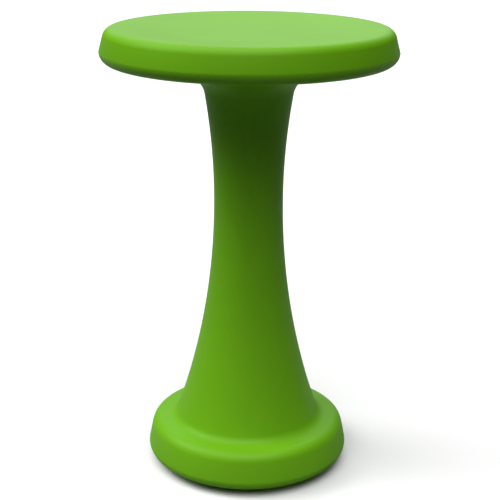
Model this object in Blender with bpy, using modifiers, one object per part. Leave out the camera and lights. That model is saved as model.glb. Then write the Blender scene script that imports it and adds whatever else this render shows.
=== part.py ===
"""One-legged wobble stool: a dished seat on a waisted hollow leg that rocks on a domed foot.

Units are metres and +Z is up. The origin is the middle of the flat under the sole, on the floor.
An outline is a list of (radius, height) points of a turned piece.
"""

import math

import bmesh
import bpy

# Overall sizes
HEIGHT = 0.500
SEAT_RADIUS = 0.160
WAIST_RADIUS = 0.0381
WAIST_Z = 0.311
BASE_RADIUS = 0.115

# Moulded walls, the gap left between pieces that touch, and the facets of turns and rounds
WALL = 0.004
GAP = 0.0003
TURN_STEPS = 44
RING_STEPS = 24
SMALL_STEPS = 10
HEX_SIDES = 6
OUTER_POINTS = 5
INNER_POINTS = 3
SHARP_ANGLE = math.radians(35)
MERGE_DISTANCE = 0.00001

# Seat: crown round, sloping rim and rolled lower edge, with a shallow dish in the top and an
# underside that falls towards the neck. Slopes and drafts are in degrees.
SEAT_EDGE_Z = 0.4755
SEAT_DRAFT = 15.0
CROWN_ROUND = 0.011
SEAT_UNDER_ROUND = 0.012
UNDER_SLOPE = 10.0
ROLL_START = -15.0
DISH_DEPTH = 0.005
DISH_FLAT_RADIUS = 0.075
SPIGOT_HEIGHT = 0.008
SPIGOT_WALL = 0.003
SEAT_RIBS = 12
RIB_THICKNESS = 0.003
RIM_RIB_CLEARANCE = 0.001
HUB_RADIUS = 0.037

# Leg: a neck fillet under the seat, two long sweeps that meet at the waist, and a foot flange
NECK_FILLET = 0.025
UPPER_SWEEP = 0.70
LOWER_SWEEP = 0.76
FOOT_FILLET = 0.012
SHOULDER_SLOPE = 4.0
SHOULDER_POINT = (0.105, 0.0505)
SHOULDER_ROUND = 0.0125
BASE_DRAFT = 11.5
FLANGE_RADIUS = 0.085
FLANGE_THICKNESS = 0.005

# Rocker base and its sole
ROCKER_RADIUS = 0.644
FLOOR_FLAT_RADIUS = 0.035
BASE_UNDER_ROUND = 0.012
SOLE_RADIUS = 0.084
SOLE_THICKNESS = 0.004
TREAD_GROOVES = 4
TREAD_PITCH = 0.011
TREAD_WIDTH = 0.003
TREAD_DEPTH = 0.0012
BASE_RIBS = 8
BASE_RIB_TOP = 0.024
BASE_RING_RADII = (0.013, 0.079)

# Seat bolts, their inserts and the steel ring under their heads
SEAT_BOLTS = 4
BOLT_CIRCLE = 0.026
BOLT_RADIUS = 0.0027
BOLT_HEAD_RADIUS = 0.0055
BOLT_HEAD_HEIGHT = 0.0045
BOLT_LENGTH = 0.024
BOLT_HOLE_RADIUS = 0.0033
HEX_SOCKET_RADIUS = 0.0023
HEX_SOCKET_DEPTH = 0.0025
INSERT_RADIUS = 0.0042
INSERT_LENGTH = 0.013
INSERT_BORE = 0.0030
INSERT_BOSS_RADIUS = 0.0090
RING_RADII = (0.016, 0.036)
RING_THICKNESS = 0.002

# Base screws, driven from below into bosses inside the foot flange
BASE_SCREWS = 6
SCREW_CIRCLE = 0.093
SCREW_RADIUS = 0.0019
SCREW_HEAD_RADIUS = 0.0044
SCREW_HEAD_FACE_RADIUS = 0.0033
SCREW_HEAD_HEIGHT = 0.003
SCREW_LENGTH = 0.021
SCREW_HOLE_RADIUS = 0.0024
COUNTERBORE_RADIUS = 0.005
COUNTERBORE_TOP = 0.0105
PILOT_RADIUS = 0.0022
PILOT_DEPTH = 0.020
SCREW_BOSS_RADIUS = 0.0065

# Levels of the base worked out from the sizes above
ROCKER_CENTRE_Z = math.sqrt(ROCKER_RADIUS**2 - FLOOR_FLAT_RADIUS**2)
BASE_ROUND_R = BASE_RADIUS - BASE_UNDER_ROUND
BASE_EDGE_Z = ROCKER_CENTRE_Z - math.sqrt((ROCKER_RADIUS - BASE_UNDER_ROUND)**2 - BASE_ROUND_R**2)
BASE_FLOOR_Z = COUNTERBORE_TOP + SPIGOT_WALL

# Colours in linear light, with roughness and metallic values
FINISHES = {
    "lime_plastic": ((0.180, 0.470, 0.010), 0.42, 0.0),
    "grip_rubber": ((0.018, 0.019, 0.018), 0.85, 0.0),
    "zinc_steel": ((0.56, 0.57, 0.58), 0.35, 1.0),
    "brass": ((0.69, 0.47, 0.17), 0.35, 1.0),
}


# Geometry of outlines

def arc(centre, radius, start, end, count):
    """Points of an arc between two angles in degrees, both ends included."""
    angles = [math.radians(start + (end - start) * i / (count - 1)) for i in range(count)]
    return [(centre[0] + radius * math.cos(a), centre[1] + radius * math.sin(a)) for a in angles]


def round_centre(first, second, radius):
    """Centre of a round between two straight faces, each a point and the angle of its outward normal."""
    (x1, z1), a1 = first
    (x2, z2), a2 = second
    c1, s1 = math.cos(math.radians(a1)), math.sin(math.radians(a1))
    c2, s2 = math.cos(math.radians(a2)), math.sin(math.radians(a2))
    d1 = c1 * x1 + s1 * z1 - radius
    d2 = c2 * x2 + s2 * z2 - radius
    turn = c1 * s2 - c2 * s1
    return (d1 * s2 - d2 * s1) / turn, (c1 * d2 - c2 * d1) / turn


def heading(start, end):
    """Angle in degrees, from 0 to 360, of the line from one point to another."""
    return math.degrees(math.atan2(end[1] - start[1], end[0] - start[0])) % 360


def along_draft(point, draft, rise):
    """The point that lies a height above another on a wall leaning inwards by a draft angle."""
    return point[0] - rise * math.tan(math.radians(draft)), point[1] + rise


def rocker_z(radius):
    """Height of the rocking surface: flat in the middle, then part of a large sphere."""
    return max(0.0, ROCKER_CENTRE_Z - math.sqrt(ROCKER_RADIUS**2 - radius**2))


def fillet_centre(sweep_centre, sweep, face, radius):
    """Centre of a fillet in the corner between a long sweep and a straight face beyond it."""
    (r, z), angle = face
    out_r, out_z = math.cos(math.radians(angle)), math.sin(math.radians(angle))
    run_r, run_z = abs(out_z), -math.copysign(out_r, out_z)
    lift_r = r + radius * out_r - sweep_centre[0]
    lift_z = z + radius * out_z - sweep_centre[1]
    middle = lift_r * run_r + lift_z * run_z
    slide = -middle - math.sqrt(middle**2 - lift_r**2 - lift_z**2 + (sweep - radius)**2)
    return sweep_centre[0] + lift_r + slide * run_r, sweep_centre[1] + lift_z + slide * run_z


def underside_z(radius):
    """Height of the seat's underside inside its rolled edge."""
    lean = math.radians(UNDER_SLOPE)
    edge_r = SEAT_ROUND_CENTRE[0] + SEAT_UNDER_ROUND * math.sin(lean)
    edge_z = SEAT_ROUND_CENTRE[1] - SEAT_UNDER_ROUND * math.cos(lean)
    return edge_z - (edge_r - radius) * math.tan(lean)


# Centres, edges and levels of the seat and of the leg's flange, worked out from the sizes above
CROWN_CENTRE = round_centre(((0, HEIGHT), 90), ((SEAT_RADIUS, SEAT_EDGE_Z), SEAT_DRAFT), CROWN_ROUND)
SEAT_ROUND_CENTRE = (SEAT_RADIUS - SEAT_UNDER_ROUND, SEAT_EDGE_Z)
DISH_Z = HEIGHT - DISH_DEPTH
FLANGE_TOP = underside_z(FLANGE_RADIUS) + WALL
FLANGE_BOTTOM = FLANGE_TOP - FLANGE_THICKNESS
PAN_BOTTOM = FLANGE_TOP + GAP
PAN_TOP = PAN_BOTTOM + WALL
HUB_BOTTOM = PAN_TOP + GAP
RING_TOP = FLANGE_BOTTOM - GAP
BOLT_SEAT_Z = RING_TOP - RING_THICKNESS - GAP
SEAT_INNER_EDGE = (SEAT_RADIUS - WALL / math.cos(math.radians(SEAT_DRAFT)), SEAT_EDGE_Z)
BASE_INNER_EDGE = (BASE_RADIUS - WALL / math.cos(math.radians(BASE_DRAFT)), BASE_EDGE_Z)


def leg_bends():
    """The leg's arcs from neck to foot: centre, radius, two angles, hollow, outer and inner points."""
    upper_centre = (WAIST_RADIUS + UPPER_SWEEP, WAIST_Z)
    lower_centre = (WAIST_RADIUS + LOWER_SWEEP, WAIST_Z)
    underside = ((FLANGE_RADIUS, underside_z(FLANGE_RADIUS)), UNDER_SLOPE - 90)
    shoulder = (SHOULDER_POINT, 90 - SHOULDER_SLOPE)
    wall = ((BASE_RADIUS, BASE_EDGE_Z), BASE_DRAFT)
    neck_centre = fillet_centre(upper_centre, UPPER_SWEEP, underside, NECK_FILLET)
    foot_centre = fillet_centre(lower_centre, LOWER_SWEEP, shoulder, FOOT_FILLET)
    corner_centre = round_centre(shoulder, wall, SHOULDER_ROUND)
    neck_end = heading(upper_centre, neck_centre)
    foot_start = heading(lower_centre, foot_centre)
    return [
        (neck_centre, NECK_FILLET, UNDER_SLOPE + 90, neck_end, True, OUTER_POINTS, 4),
        (upper_centre, UPPER_SWEEP, neck_end, 180, True, 4, INNER_POINTS),
        (lower_centre, LOWER_SWEEP, 180, foot_start, True, 7, 5),
        (foot_centre, FOOT_FILLET, foot_start, 270 - SHOULDER_SLOPE, True, 4, INNER_POINTS),
        (corner_centre, SHOULDER_ROUND, 90 - SHOULDER_SLOPE, BASE_DRAFT, False, OUTER_POINTS, INNER_POINTS),
    ]


def leg_surface(wall, top_z):
    """The leg's outline below a height, set in from its outer face by a wall thickness."""
    points = []
    for centre, radius, start, end, hollow, outer_points, inner_points in leg_bends():
        count = inner_points if wall else outer_points
        points += arc(centre, radius + wall if hollow else radius - wall, start, end, count)
    below = [point for point in points if point[1] < top_z - MERGE_DISTANCE]
    return [p for i, p in enumerate(below) if i == 0 or math.dist(p, below[i - 1]) > MERGE_DISTANCE]


# Blender helpers

def reset_scene():
    for old in list(bpy.data.objects):
        bpy.data.objects.remove(old, do_unlink=True)


def new_collection(name, parent=None):
    made = bpy.data.collections.new(name)
    (parent or bpy.context.scene.collection).children.link(made)
    return made


def finish(name):
    """The named Principled material, made on first use."""
    material = bpy.data.materials.get(name)
    if material is None:
        colour, roughness, metallic = FINISHES[name]
        material = bpy.data.materials.new(name)
        material.use_nodes = True
        shader = material.node_tree.nodes["Principled BSDF"]
        shader.inputs["Base Color"].default_value = (*colour, 1)
        shader.inputs["Roughness"].default_value = roughness
        shader.inputs["Metallic"].default_value = metallic
        material.diffuse_color = (*colour, 1)
    return material


def place(name, mesh, collection, location=(0, 0, 0), turn=0.0):
    thing = bpy.data.objects.new(name, mesh)
    thing.location = location
    thing.rotation_euler.z = turn
    collection.objects.link(thing)
    return thing


def turned(name, outline, collection, steps=TURN_STEPS, closed=False, location=(0, 0, 0)):
    """A piece turned about its own Z axis from an outline that runs down its outer side."""
    mesh = bpy.data.meshes.new(name)
    edges = [(i, i + 1) for i in range(len(outline) - 1)]
    if closed:
        edges.append((len(outline) - 1, 0))
    mesh.from_pydata([(r, 0, z) for r, z in outline], edges, [])
    piece = place(name, mesh, collection, location)
    screw = piece.modifiers.new("turn", "SCREW")
    screw.steps = steps
    screw.render_steps = steps
    screw.use_merge_vertices = True
    screw.merge_threshold = MERGE_DISTANCE
    return piece


def rod_mesh(name, radius, bottom, top, sides=SMALL_STEPS):
    """A plain round or many-sided bar along Z."""
    mesh = bpy.data.meshes.new(name)
    bar = bmesh.new()
    bmesh.ops.create_cone(
        bar, cap_ends=True, segments=sides, radius1=radius, radius2=radius, depth=top - bottom
    )
    bmesh.ops.translate(bar, verts=bar.verts, vec=(0, 0, (top + bottom) / 2))
    bar.to_mesh(mesh)
    bar.free()
    return mesh


def plate_mesh(name, outline, thickness, tools):
    """A flat plate standing in the XZ plane, from its (x, z) outline."""
    curve = bpy.data.curves.new(name, "CURVE")
    curve.dimensions = "2D"
    curve.fill_mode = "BOTH"
    curve.extrude = thickness / 2
    spline = curve.splines.new("POLY")
    spline.points.add(len(outline) - 1)
    for point, (x, z) in zip(spline.points, outline):
        point.co = (x, z, 0, 1)
    spline.use_cyclic_u = True
    flat = bpy.data.objects.new(name, curve)
    tools.objects.link(flat)
    mesh = bpy.data.meshes.new_from_object(flat.evaluated_get(bpy.context.evaluated_depsgraph_get()))
    bpy.data.objects.remove(flat, do_unlink=True)
    welded = bmesh.new()
    welded.from_mesh(mesh)
    bmesh.ops.remove_doubles(welded, verts=welded.verts, dist=MERGE_DISTANCE)
    for corner in welded.verts:
        corner.co = (corner.co.x, -corner.co.z, corner.co.y)
    bmesh.ops.recalc_face_normals(welded, faces=welded.faces)
    welded.to_mesh(mesh)
    welded.free()
    return mesh


def ring_places(count, radius, phase=0.0):
    """Evenly spaced (location, turn) pairs around the Z axis."""
    turns = [phase + 2 * math.pi * i / count for i in range(count)]
    return [((radius * math.cos(t), radius * math.sin(t), 0), t) for t in turns]


def tool_set(name, tools, *groups):
    """A collection of hidden cutters or adders: each group is a mesh and its places."""
    made = new_collection(name, tools)
    for mesh, places in groups:
        for location, turn in places:
            tool = place(mesh.name, mesh, made, location, turn)
            tool.hide_render = True
            tool.display_type = "WIRE"
    return made


def combine(piece, operation, tool_collection):
    boolean = piece.modifiers.new(operation.lower(), "BOOLEAN")
    boolean.operation = operation
    boolean.operand_type = "COLLECTION"
    boolean.collection = tool_collection
    boolean.solver = "EXACT"


def finished(piece, material):
    """Applies the piece's modifiers, shades its round faces smooth and gives it a material."""
    graph = bpy.context.evaluated_depsgraph_get()
    shape = bpy.data.meshes.new_from_object(piece.evaluated_get(graph))
    piece.modifiers.clear()
    piece.data = shape
    shape.name = piece.name
    shape.shade_smooth()
    shape.set_sharp_from_angle(angle=SHARP_ANGLE)
    shape.materials.clear()
    shape.materials.append(finish(material))


# Seat

def dish_z(radius):
    """Height of the seating face: flat in the middle, easing up to the crown."""
    share = (radius - DISH_FLAT_RADIUS) / (CROWN_CENTRE[0] - DISH_FLAT_RADIUS)
    ease = (1 - math.cos(math.pi * min(1.0, max(0.0, share)))) / 2
    return DISH_Z + DISH_DEPTH * ease


def make_seat_top(parts, tools):
    """The seating face and sloping rim, with stiffening ribs and insert bosses underneath."""
    dish_points = 5
    crown_r = CROWN_CENTRE[0]
    spread = [DISH_FLAT_RADIUS + (crown_r - DISH_FLAT_RADIUS) * i / dish_points for i in range(dish_points)]
    outline = [(0, DISH_Z)]
    outline += [(r, dish_z(r)) for r in spread]
    outline += arc(CROWN_CENTRE, CROWN_ROUND, 90, SEAT_DRAFT, OUTER_POINTS)
    outline += [along_draft((SEAT_RADIUS, SEAT_EDGE_Z), SEAT_DRAFT, GAP / 2)]
    outline += [along_draft(SEAT_INNER_EDGE, SEAT_DRAFT, GAP / 2)]
    outline += arc(CROWN_CENTRE, CROWN_ROUND - WALL, SEAT_DRAFT, 90, INNER_POINTS)
    outline += [(DISH_FLAT_RADIUS, DISH_Z - WALL), (HUB_RADIUS, DISH_Z - WALL)]
    outline += [(HUB_RADIUS, HUB_BOTTOM), (HUB_RADIUS - RIB_THICKNESS, HUB_BOTTOM)]
    outline += [(HUB_RADIUS - RIB_THICKNESS, DISH_Z - WALL), (0, DISH_Z - WALL)]
    seat = turned("seat_top", outline, parts)

    # Each rib is buried to half the wall in the top and in the rim, and passes over the pan's spigot
    rib_foot_z = SEAT_EDGE_Z + SPIGOT_HEIGHT + RIM_RIB_CLEARANCE
    rib = plate_mesh("seat_rib", [
        (HUB_RADIUS - RIB_THICKNESS / 2, DISH_Z - WALL / 2),
        (DISH_FLAT_RADIUS, DISH_Z - WALL / 2),
        *arc(CROWN_CENTRE, CROWN_ROUND - WALL / 2, 90, SEAT_DRAFT, INNER_POINTS),
        along_draft((SEAT_RADIUS - WALL / 2, SEAT_EDGE_Z), SEAT_DRAFT, rib_foot_z - SEAT_EDGE_Z),
        (crown_r, rib_foot_z),
        (HUB_RADIUS - RIB_THICKNESS / 2, HUB_BOTTOM + RIM_RIB_CLEARANCE),
    ], RIB_THICKNESS, tools)
    boss = rod_mesh("insert_boss", INSERT_BOSS_RADIUS, HUB_BOTTOM, DISH_Z - WALL / 2)
    pocket_top = HUB_BOTTOM + INSERT_LENGTH + 2 * GAP
    pocket = rod_mesh("insert_pocket", INSERT_RADIUS + GAP, HUB_BOTTOM - WALL, pocket_top)
    bolt_places = ring_places(SEAT_BOLTS, BOLT_CIRCLE)
    adders = tool_set("seat_adders", tools, (rib, ring_places(SEAT_RIBS, 0)), (boss, bolt_places))
    cutters = tool_set("seat_cutters", tools, (pocket, bolt_places))
    combine(seat, "UNION", adders)
    combine(seat, "DIFFERENCE", cutters)
    finished(seat, "lime_plastic")


def make_seat_pan(parts, tools):
    """The underside of the seat: a rolled edge, a spigot inside the rim and a socket for the leg's flange."""
    socket_r = FLANGE_RADIUS + GAP
    spigot_foot = (SEAT_INNER_EDGE[0] - GAP - GAP / 2, SEAT_EDGE_Z - GAP / 2)
    spigot_tip = along_draft(spigot_foot, SEAT_DRAFT, SPIGOT_HEIGHT)
    inner_round = SEAT_UNDER_ROUND - WALL
    spigot_inner = spigot_foot[0] - SPIGOT_WALL
    inner_angle = -math.degrees(math.acos((spigot_inner - SEAT_ROUND_CENTRE[0]) / inner_round))
    collar_r = socket_r + WALL
    inner_fall_z = underside_z(collar_r) + WALL / math.cos(math.radians(UNDER_SLOPE))
    outline = [(0, PAN_TOP), (collar_r, PAN_TOP), (collar_r, inner_fall_z)]
    outline += arc(SEAT_ROUND_CENTRE, inner_round, UNDER_SLOPE - 90, inner_angle, INNER_POINTS)
    outline += [(spigot_tip[0] - SPIGOT_WALL, spigot_tip[1]), spigot_tip, spigot_foot]
    outline += [(SEAT_RADIUS, SEAT_EDGE_Z - GAP / 2)]
    outline += arc(SEAT_ROUND_CENTRE, SEAT_UNDER_ROUND, ROLL_START, UNDER_SLOPE - 90, OUTER_POINTS)
    outline += [(socket_r, underside_z(socket_r)), (socket_r, PAN_BOTTOM), (0, PAN_BOTTOM)]
    pan = turned("seat_pan", outline, parts)
    hole = rod_mesh("pan_hole", BOLT_HOLE_RADIUS, PAN_BOTTOM - WALL, PAN_TOP + WALL)
    cutters = tool_set("pan_cutters", tools, (hole, ring_places(SEAT_BOLTS, BOLT_CIRCLE)))
    combine(pan, "DIFFERENCE", cutters)
    finished(pan, "lime_plastic")


# Leg

def make_leg(parts, tools):
    """One hollow moulding: bolting flange, flared neck, waist, flared foot and the skirt of the base."""
    skirt_foot = along_draft((BASE_RADIUS, BASE_EDGE_Z), BASE_DRAFT, GAP / 2)
    skirt_inner_foot = along_draft(BASE_INNER_EDGE, BASE_DRAFT, GAP / 2)
    outline = [(0, FLANGE_TOP), (FLANGE_RADIUS, FLANGE_TOP), (FLANGE_RADIUS, underside_z(FLANGE_RADIUS))]
    outline += leg_surface(0, HEIGHT)
    outline += [skirt_foot, skirt_inner_foot]
    inner = leg_surface(WALL, FLANGE_BOTTOM)
    neck_centre, neck_radius = leg_bends()[0][:2]
    neck_mouth = neck_centre[0] - math.sqrt((neck_radius + WALL)**2 - (FLANGE_BOTTOM - neck_centre[1])**2)
    outline += inner[::-1]
    outline += [(neck_mouth, FLANGE_BOTTOM), (0, FLANGE_BOTTOM)]
    leg = turned("leg", outline, parts)

    shoulder_fall = math.tan(math.radians(SHOULDER_SLOPE))
    shoulder_z = SHOULDER_POINT[1] + (SHOULDER_POINT[0] - SCREW_CIRCLE) * shoulder_fall
    boss_bottom = BASE_FLOOR_Z + GAP
    boss = rod_mesh("screw_boss", SCREW_BOSS_RADIUS, boss_bottom, shoulder_z - WALL / 2)
    pilot = rod_mesh("pilot_hole", PILOT_RADIUS, boss_bottom - WALL, boss_bottom + PILOT_DEPTH)
    hole = rod_mesh("flange_hole", BOLT_HOLE_RADIUS, FLANGE_BOTTOM - WALL, FLANGE_TOP + WALL)
    screw_places = ring_places(BASE_SCREWS, SCREW_CIRCLE)
    adders = tool_set("leg_adders", tools, (boss, screw_places))
    cutters = tool_set(
        "leg_cutters", tools, (pilot, screw_places), (hole, ring_places(SEAT_BOLTS, BOLT_CIRCLE))
    )
    combine(leg, "UNION", adders)
    combine(leg, "DIFFERENCE", cutters)
    finished(leg, "lime_plastic")


# Base

def make_rocker_base(parts, tools):
    """The domed underside that closes the leg: ribs and a spigot above, a recess for the sole below."""
    recess_r = SOLE_RADIUS + GAP
    recess_lift = SOLE_THICKNESS + GAP
    floor_lift = recess_lift + WALL
    spigot_foot = (BASE_INNER_EDGE[0] - GAP - GAP / 2, BASE_EDGE_Z - GAP / 2)
    spigot_tip = along_draft(spigot_foot, BASE_DRAFT, SPIGOT_HEIGHT)
    round_centre_point = (BASE_ROUND_R, BASE_EDGE_Z)
    rocker_angle = heading((0, ROCKER_CENTRE_Z), round_centre_point) - 360
    hub_r, ring_r = BASE_RING_RADII
    outline = [(0, floor_lift), (hub_r - RIB_THICKNESS, floor_lift)]
    outline += [(hub_r - RIB_THICKNESS, BASE_RIB_TOP), (hub_r, BASE_RIB_TOP), (hub_r, floor_lift)]
    outline += [(FLOOR_FLAT_RADIUS, floor_lift)]
    ring_inner = ring_r - RIB_THICKNESS
    outline += [(ring_inner, rocker_z(ring_inner) + floor_lift), (ring_inner, BASE_RIB_TOP)]
    outline += [(ring_r, BASE_RIB_TOP), (ring_r, BASE_FLOOR_Z)]
    outline += [(spigot_foot[0] - SPIGOT_WALL, BASE_FLOOR_Z)]
    outline += [(spigot_tip[0] - SPIGOT_WALL, spigot_tip[1]), spigot_tip, spigot_foot]
    outline += [(BASE_RADIUS, BASE_EDGE_Z - GAP / 2)]
    outline += arc(round_centre_point, BASE_UNDER_ROUND, ROLL_START, rocker_angle, OUTER_POINTS)
    outline += [(recess_r, rocker_z(recess_r)), (recess_r, rocker_z(recess_r) + recess_lift)]
    middle_r = (recess_r + FLOOR_FLAT_RADIUS) / 2
    outline += [(middle_r, rocker_z(middle_r) + recess_lift)]
    outline += [(FLOOR_FLAT_RADIUS, recess_lift), (0, recess_lift)]
    base = turned("rocker_base", outline, parts)

    rib = plate_mesh("base_rib", [
        (hub_r - RIB_THICKNESS / 2, BASE_RIB_TOP - RIM_RIB_CLEARANCE),
        (ring_r - RIB_THICKNESS / 2, BASE_RIB_TOP - RIM_RIB_CLEARANCE),
        (ring_r - RIB_THICKNESS / 2, rocker_z(ring_r) + floor_lift - WALL / 2),
        (FLOOR_FLAT_RADIUS, floor_lift - WALL / 2),
        (hub_r - RIB_THICKNESS / 2, floor_lift - WALL / 2),
    ], RIB_THICKNESS, tools)
    hole = rod_mesh("screw_hole", SCREW_HOLE_RADIUS, -WALL, BASE_FLOOR_Z + WALL)
    counterbore = rod_mesh("counterbore", COUNTERBORE_RADIUS, -WALL, COUNTERBORE_TOP)
    screw_places = ring_places(BASE_SCREWS, SCREW_CIRCLE)
    adders = tool_set("base_adders", tools, (rib, ring_places(BASE_RIBS, 0)))
    cutters = tool_set("base_cutters", tools, (hole, screw_places), (counterbore, screw_places))
    combine(base, "UNION", adders)
    combine(base, "DIFFERENCE", cutters)
    finished(base, "lime_plastic")


def make_grip_sole(parts):
    """The rubber disc that meets the floor, with ring grooves around its flat middle."""
    middle_r = (SOLE_RADIUS + FLOOR_FLAT_RADIUS) / 2
    outline = [(0, SOLE_THICKNESS), (FLOOR_FLAT_RADIUS, SOLE_THICKNESS)]
    outline += [(middle_r, rocker_z(middle_r) + SOLE_THICKNESS)]
    outline += [(SOLE_RADIUS, rocker_z(SOLE_RADIUS) + SOLE_THICKNESS), (SOLE_RADIUS, rocker_z(SOLE_RADIUS))]
    for i in reversed(range(TREAD_GROOVES)):
        inner = FLOOR_FLAT_RADIUS + TREAD_PITCH * i
        outer = inner + TREAD_WIDTH
        outline += [(outer, rocker_z(outer)), (outer, rocker_z(outer) + TREAD_DEPTH)]
        outline += [(inner, rocker_z(inner) + TREAD_DEPTH), (inner, rocker_z(inner))]
    outline += [(0, 0)]
    sole = turned("grip_sole", outline, parts)
    finished(sole, "grip_rubber")


# Fasteners

def make_bolt_ring(parts, tools):
    """A flat steel ring that spreads the load of the seat bolts under the leg's flange."""
    inner, outer = RING_RADII
    bottom = RING_TOP - RING_THICKNESS
    outline = [(inner, RING_TOP), (outer, RING_TOP), (outer, bottom), (inner, bottom)]
    ring = turned("bolt_ring", outline, parts, RING_STEPS, closed=True)
    hole = rod_mesh("ring_hole", BOLT_HOLE_RADIUS, bottom - WALL, RING_TOP + WALL)
    cutters = tool_set("ring_cutters", tools, (hole, ring_places(SEAT_BOLTS, BOLT_CIRCLE)))
    combine(ring, "DIFFERENCE", cutters)
    finished(ring, "zinc_steel")


def make_seat_bolts(parts, tools):
    """Socket-head bolts that stand up through the ring, flange and pan into the seat's inserts."""
    head_bottom = BOLT_SEAT_Z - BOLT_HEAD_HEIGHT
    outline = [(0, BOLT_SEAT_Z + BOLT_LENGTH), (BOLT_RADIUS, BOLT_SEAT_Z + BOLT_LENGTH)]
    outline += [(BOLT_RADIUS, BOLT_SEAT_Z), (BOLT_HEAD_RADIUS, BOLT_SEAT_Z)]
    outline += [(BOLT_HEAD_RADIUS, head_bottom), (0, head_bottom)]
    socket_top = head_bottom + HEX_SOCKET_DEPTH
    socket = rod_mesh("hex_socket", HEX_SOCKET_RADIUS, head_bottom - WALL, socket_top, HEX_SIDES)
    for number, (location, turn) in enumerate(ring_places(SEAT_BOLTS, BOLT_CIRCLE), 1):
        bolt = turned(f"seat_bolt_{number}", outline, parts, SMALL_STEPS, location=location)
        cutters = tool_set(f"bolt_cutter_{number}", tools, (socket, [(location, turn)]))
        combine(bolt, "DIFFERENCE", cutters)
        finished(bolt, "zinc_steel")


def make_thread_inserts(parts):
    """Brass inserts with a waisted middle, pressed into the seat's bosses."""
    bottom = HUB_BOTTOM + GAP
    top = bottom + INSERT_LENGTH
    groove = INSERT_RADIUS - GAP
    outline = [(INSERT_BORE, top), (INSERT_RADIUS, top), (INSERT_RADIUS, top - INSERT_LENGTH / 3)]
    outline += [(groove, top - INSERT_LENGTH / 2), (INSERT_RADIUS, bottom + INSERT_LENGTH / 3)]
    outline += [(INSERT_RADIUS, bottom), (INSERT_BORE, bottom)]
    for number, (location, _) in enumerate(ring_places(SEAT_BOLTS, BOLT_CIRCLE), 1):
        name = f"thread_insert_{number}"
        insert = turned(name, outline, parts, SMALL_STEPS, closed=True, location=location)
        finished(insert, "brass")


def make_base_screws(parts, tools):
    """Screws sunk in the rocker base that reach up into the leg's bosses."""
    seat_z = COUNTERBORE_TOP - GAP
    head_bottom = seat_z - SCREW_HEAD_HEIGHT
    outline = [(0, seat_z + SCREW_LENGTH), (SCREW_RADIUS, seat_z + SCREW_LENGTH - SCREW_RADIUS)]
    outline += [(SCREW_RADIUS, seat_z), (SCREW_HEAD_RADIUS, seat_z)]
    outline += [(SCREW_HEAD_RADIUS, seat_z - SCREW_HEAD_HEIGHT / 2), (SCREW_HEAD_FACE_RADIUS, head_bottom)]
    outline += [(0, head_bottom)]
    socket_top = head_bottom + SCREW_HEAD_HEIGHT / 2
    socket = rod_mesh("screw_socket", HEX_SOCKET_RADIUS, head_bottom - WALL, socket_top, HEX_SIDES)
    for number, (location, turn) in enumerate(ring_places(BASE_SCREWS, SCREW_CIRCLE), 1):
        screw = turned(f"base_screw_{number}", outline, parts, SMALL_STEPS, location=location)
        cutters = tool_set(f"screw_cutter_{number}", tools, (socket, [(location, turn)]))
        combine(screw, "DIFFERENCE", cutters)
        finished(screw, "zinc_steel")


def main():
    reset_scene()
    parts = new_collection("wobble_stool")
    tools = new_collection("cutters")
    make_seat_top(parts, tools)
    make_seat_pan(parts, tools)
    make_leg(parts, tools)
    make_rocker_base(parts, tools)
    make_grip_sole(parts)
    make_bolt_ring(parts, tools)
    make_seat_bolts(parts, tools)
    make_thread_inserts(parts)
    make_base_screws(parts, tools)


main()
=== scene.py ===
"""Looks for a one-legged wobble stool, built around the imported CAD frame.

Units are metres, +Z is up, the floor is at zero and the photograph was taken from the -Y side.
An outline is a list of (radius, height) points of a turned piece.
"""

import math

import bmesh
import bpy
from mathutils import Matrix, Vector


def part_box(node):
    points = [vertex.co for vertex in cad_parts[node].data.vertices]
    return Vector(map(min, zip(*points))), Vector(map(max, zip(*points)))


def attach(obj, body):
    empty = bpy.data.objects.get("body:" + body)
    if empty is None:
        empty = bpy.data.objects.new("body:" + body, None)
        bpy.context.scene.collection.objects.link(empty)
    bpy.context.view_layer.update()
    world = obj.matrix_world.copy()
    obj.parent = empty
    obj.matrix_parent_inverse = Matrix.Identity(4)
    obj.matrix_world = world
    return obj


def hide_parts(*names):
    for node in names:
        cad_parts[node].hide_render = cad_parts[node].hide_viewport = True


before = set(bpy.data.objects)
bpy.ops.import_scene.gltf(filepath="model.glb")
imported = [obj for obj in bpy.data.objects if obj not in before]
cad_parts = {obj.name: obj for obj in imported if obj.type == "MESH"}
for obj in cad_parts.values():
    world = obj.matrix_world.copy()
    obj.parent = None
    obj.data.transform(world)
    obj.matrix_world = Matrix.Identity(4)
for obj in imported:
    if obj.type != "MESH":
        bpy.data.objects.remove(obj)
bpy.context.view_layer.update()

# Leg
# One hollow polyethylene moulding: bolting flange, flared neck, waist, flared foot and the wall of the base.
# It is moulded in two side halves, which leave a fine raised line down the left and the right.

WALL = 0.004
GAP = 0.0003
WAIST_RADIUS = 0.0381
WAIST_Z = 0.311
NECK_FILLET = 0.025
UPPER_SWEEP = 0.70
LOWER_SWEEP = 0.76
FOOT_FILLET = 0.012
SHOULDER_SLOPE = 4.0
SHOULDER_POINT = (0.105, 0.0505)
SHOULDER_ROUND = 0.0125
BASE_DRAFT = 11.5
UNDER_SLOPE = 10.0
FLANGE_THICKNESS = 0.005
FLANGE_LIP = 0.0006
BOLT_COUNT = 4
BOLT_CIRCLE = 0.026
BOLT_HOLE_RADIUS = 0.0033
SCREW_COUNT = 6
SCREW_CIRCLE = 0.093
SCREW_BOSS_RADIUS = 0.0065
SCREW_BOSS_BOTTOM = 0.0138
PILOT_RADIUS = 0.0022
PILOT_DEPTH = 0.020
PARTING_LIP = 0.0002
PARTING_GAP = 0.00006
ROUND_COLUMNS = 144
HOLE_SIDES = 32
LIP_POINTS = 4
PARTING_POINTS = 6
NECK_POINTS = 16
UPPER_SWEEP_POINTS = 14
LOWER_SWEEP_POINTS = 26
FOOT_POINTS = 10
SHOULDER_POINTS = 12
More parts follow.
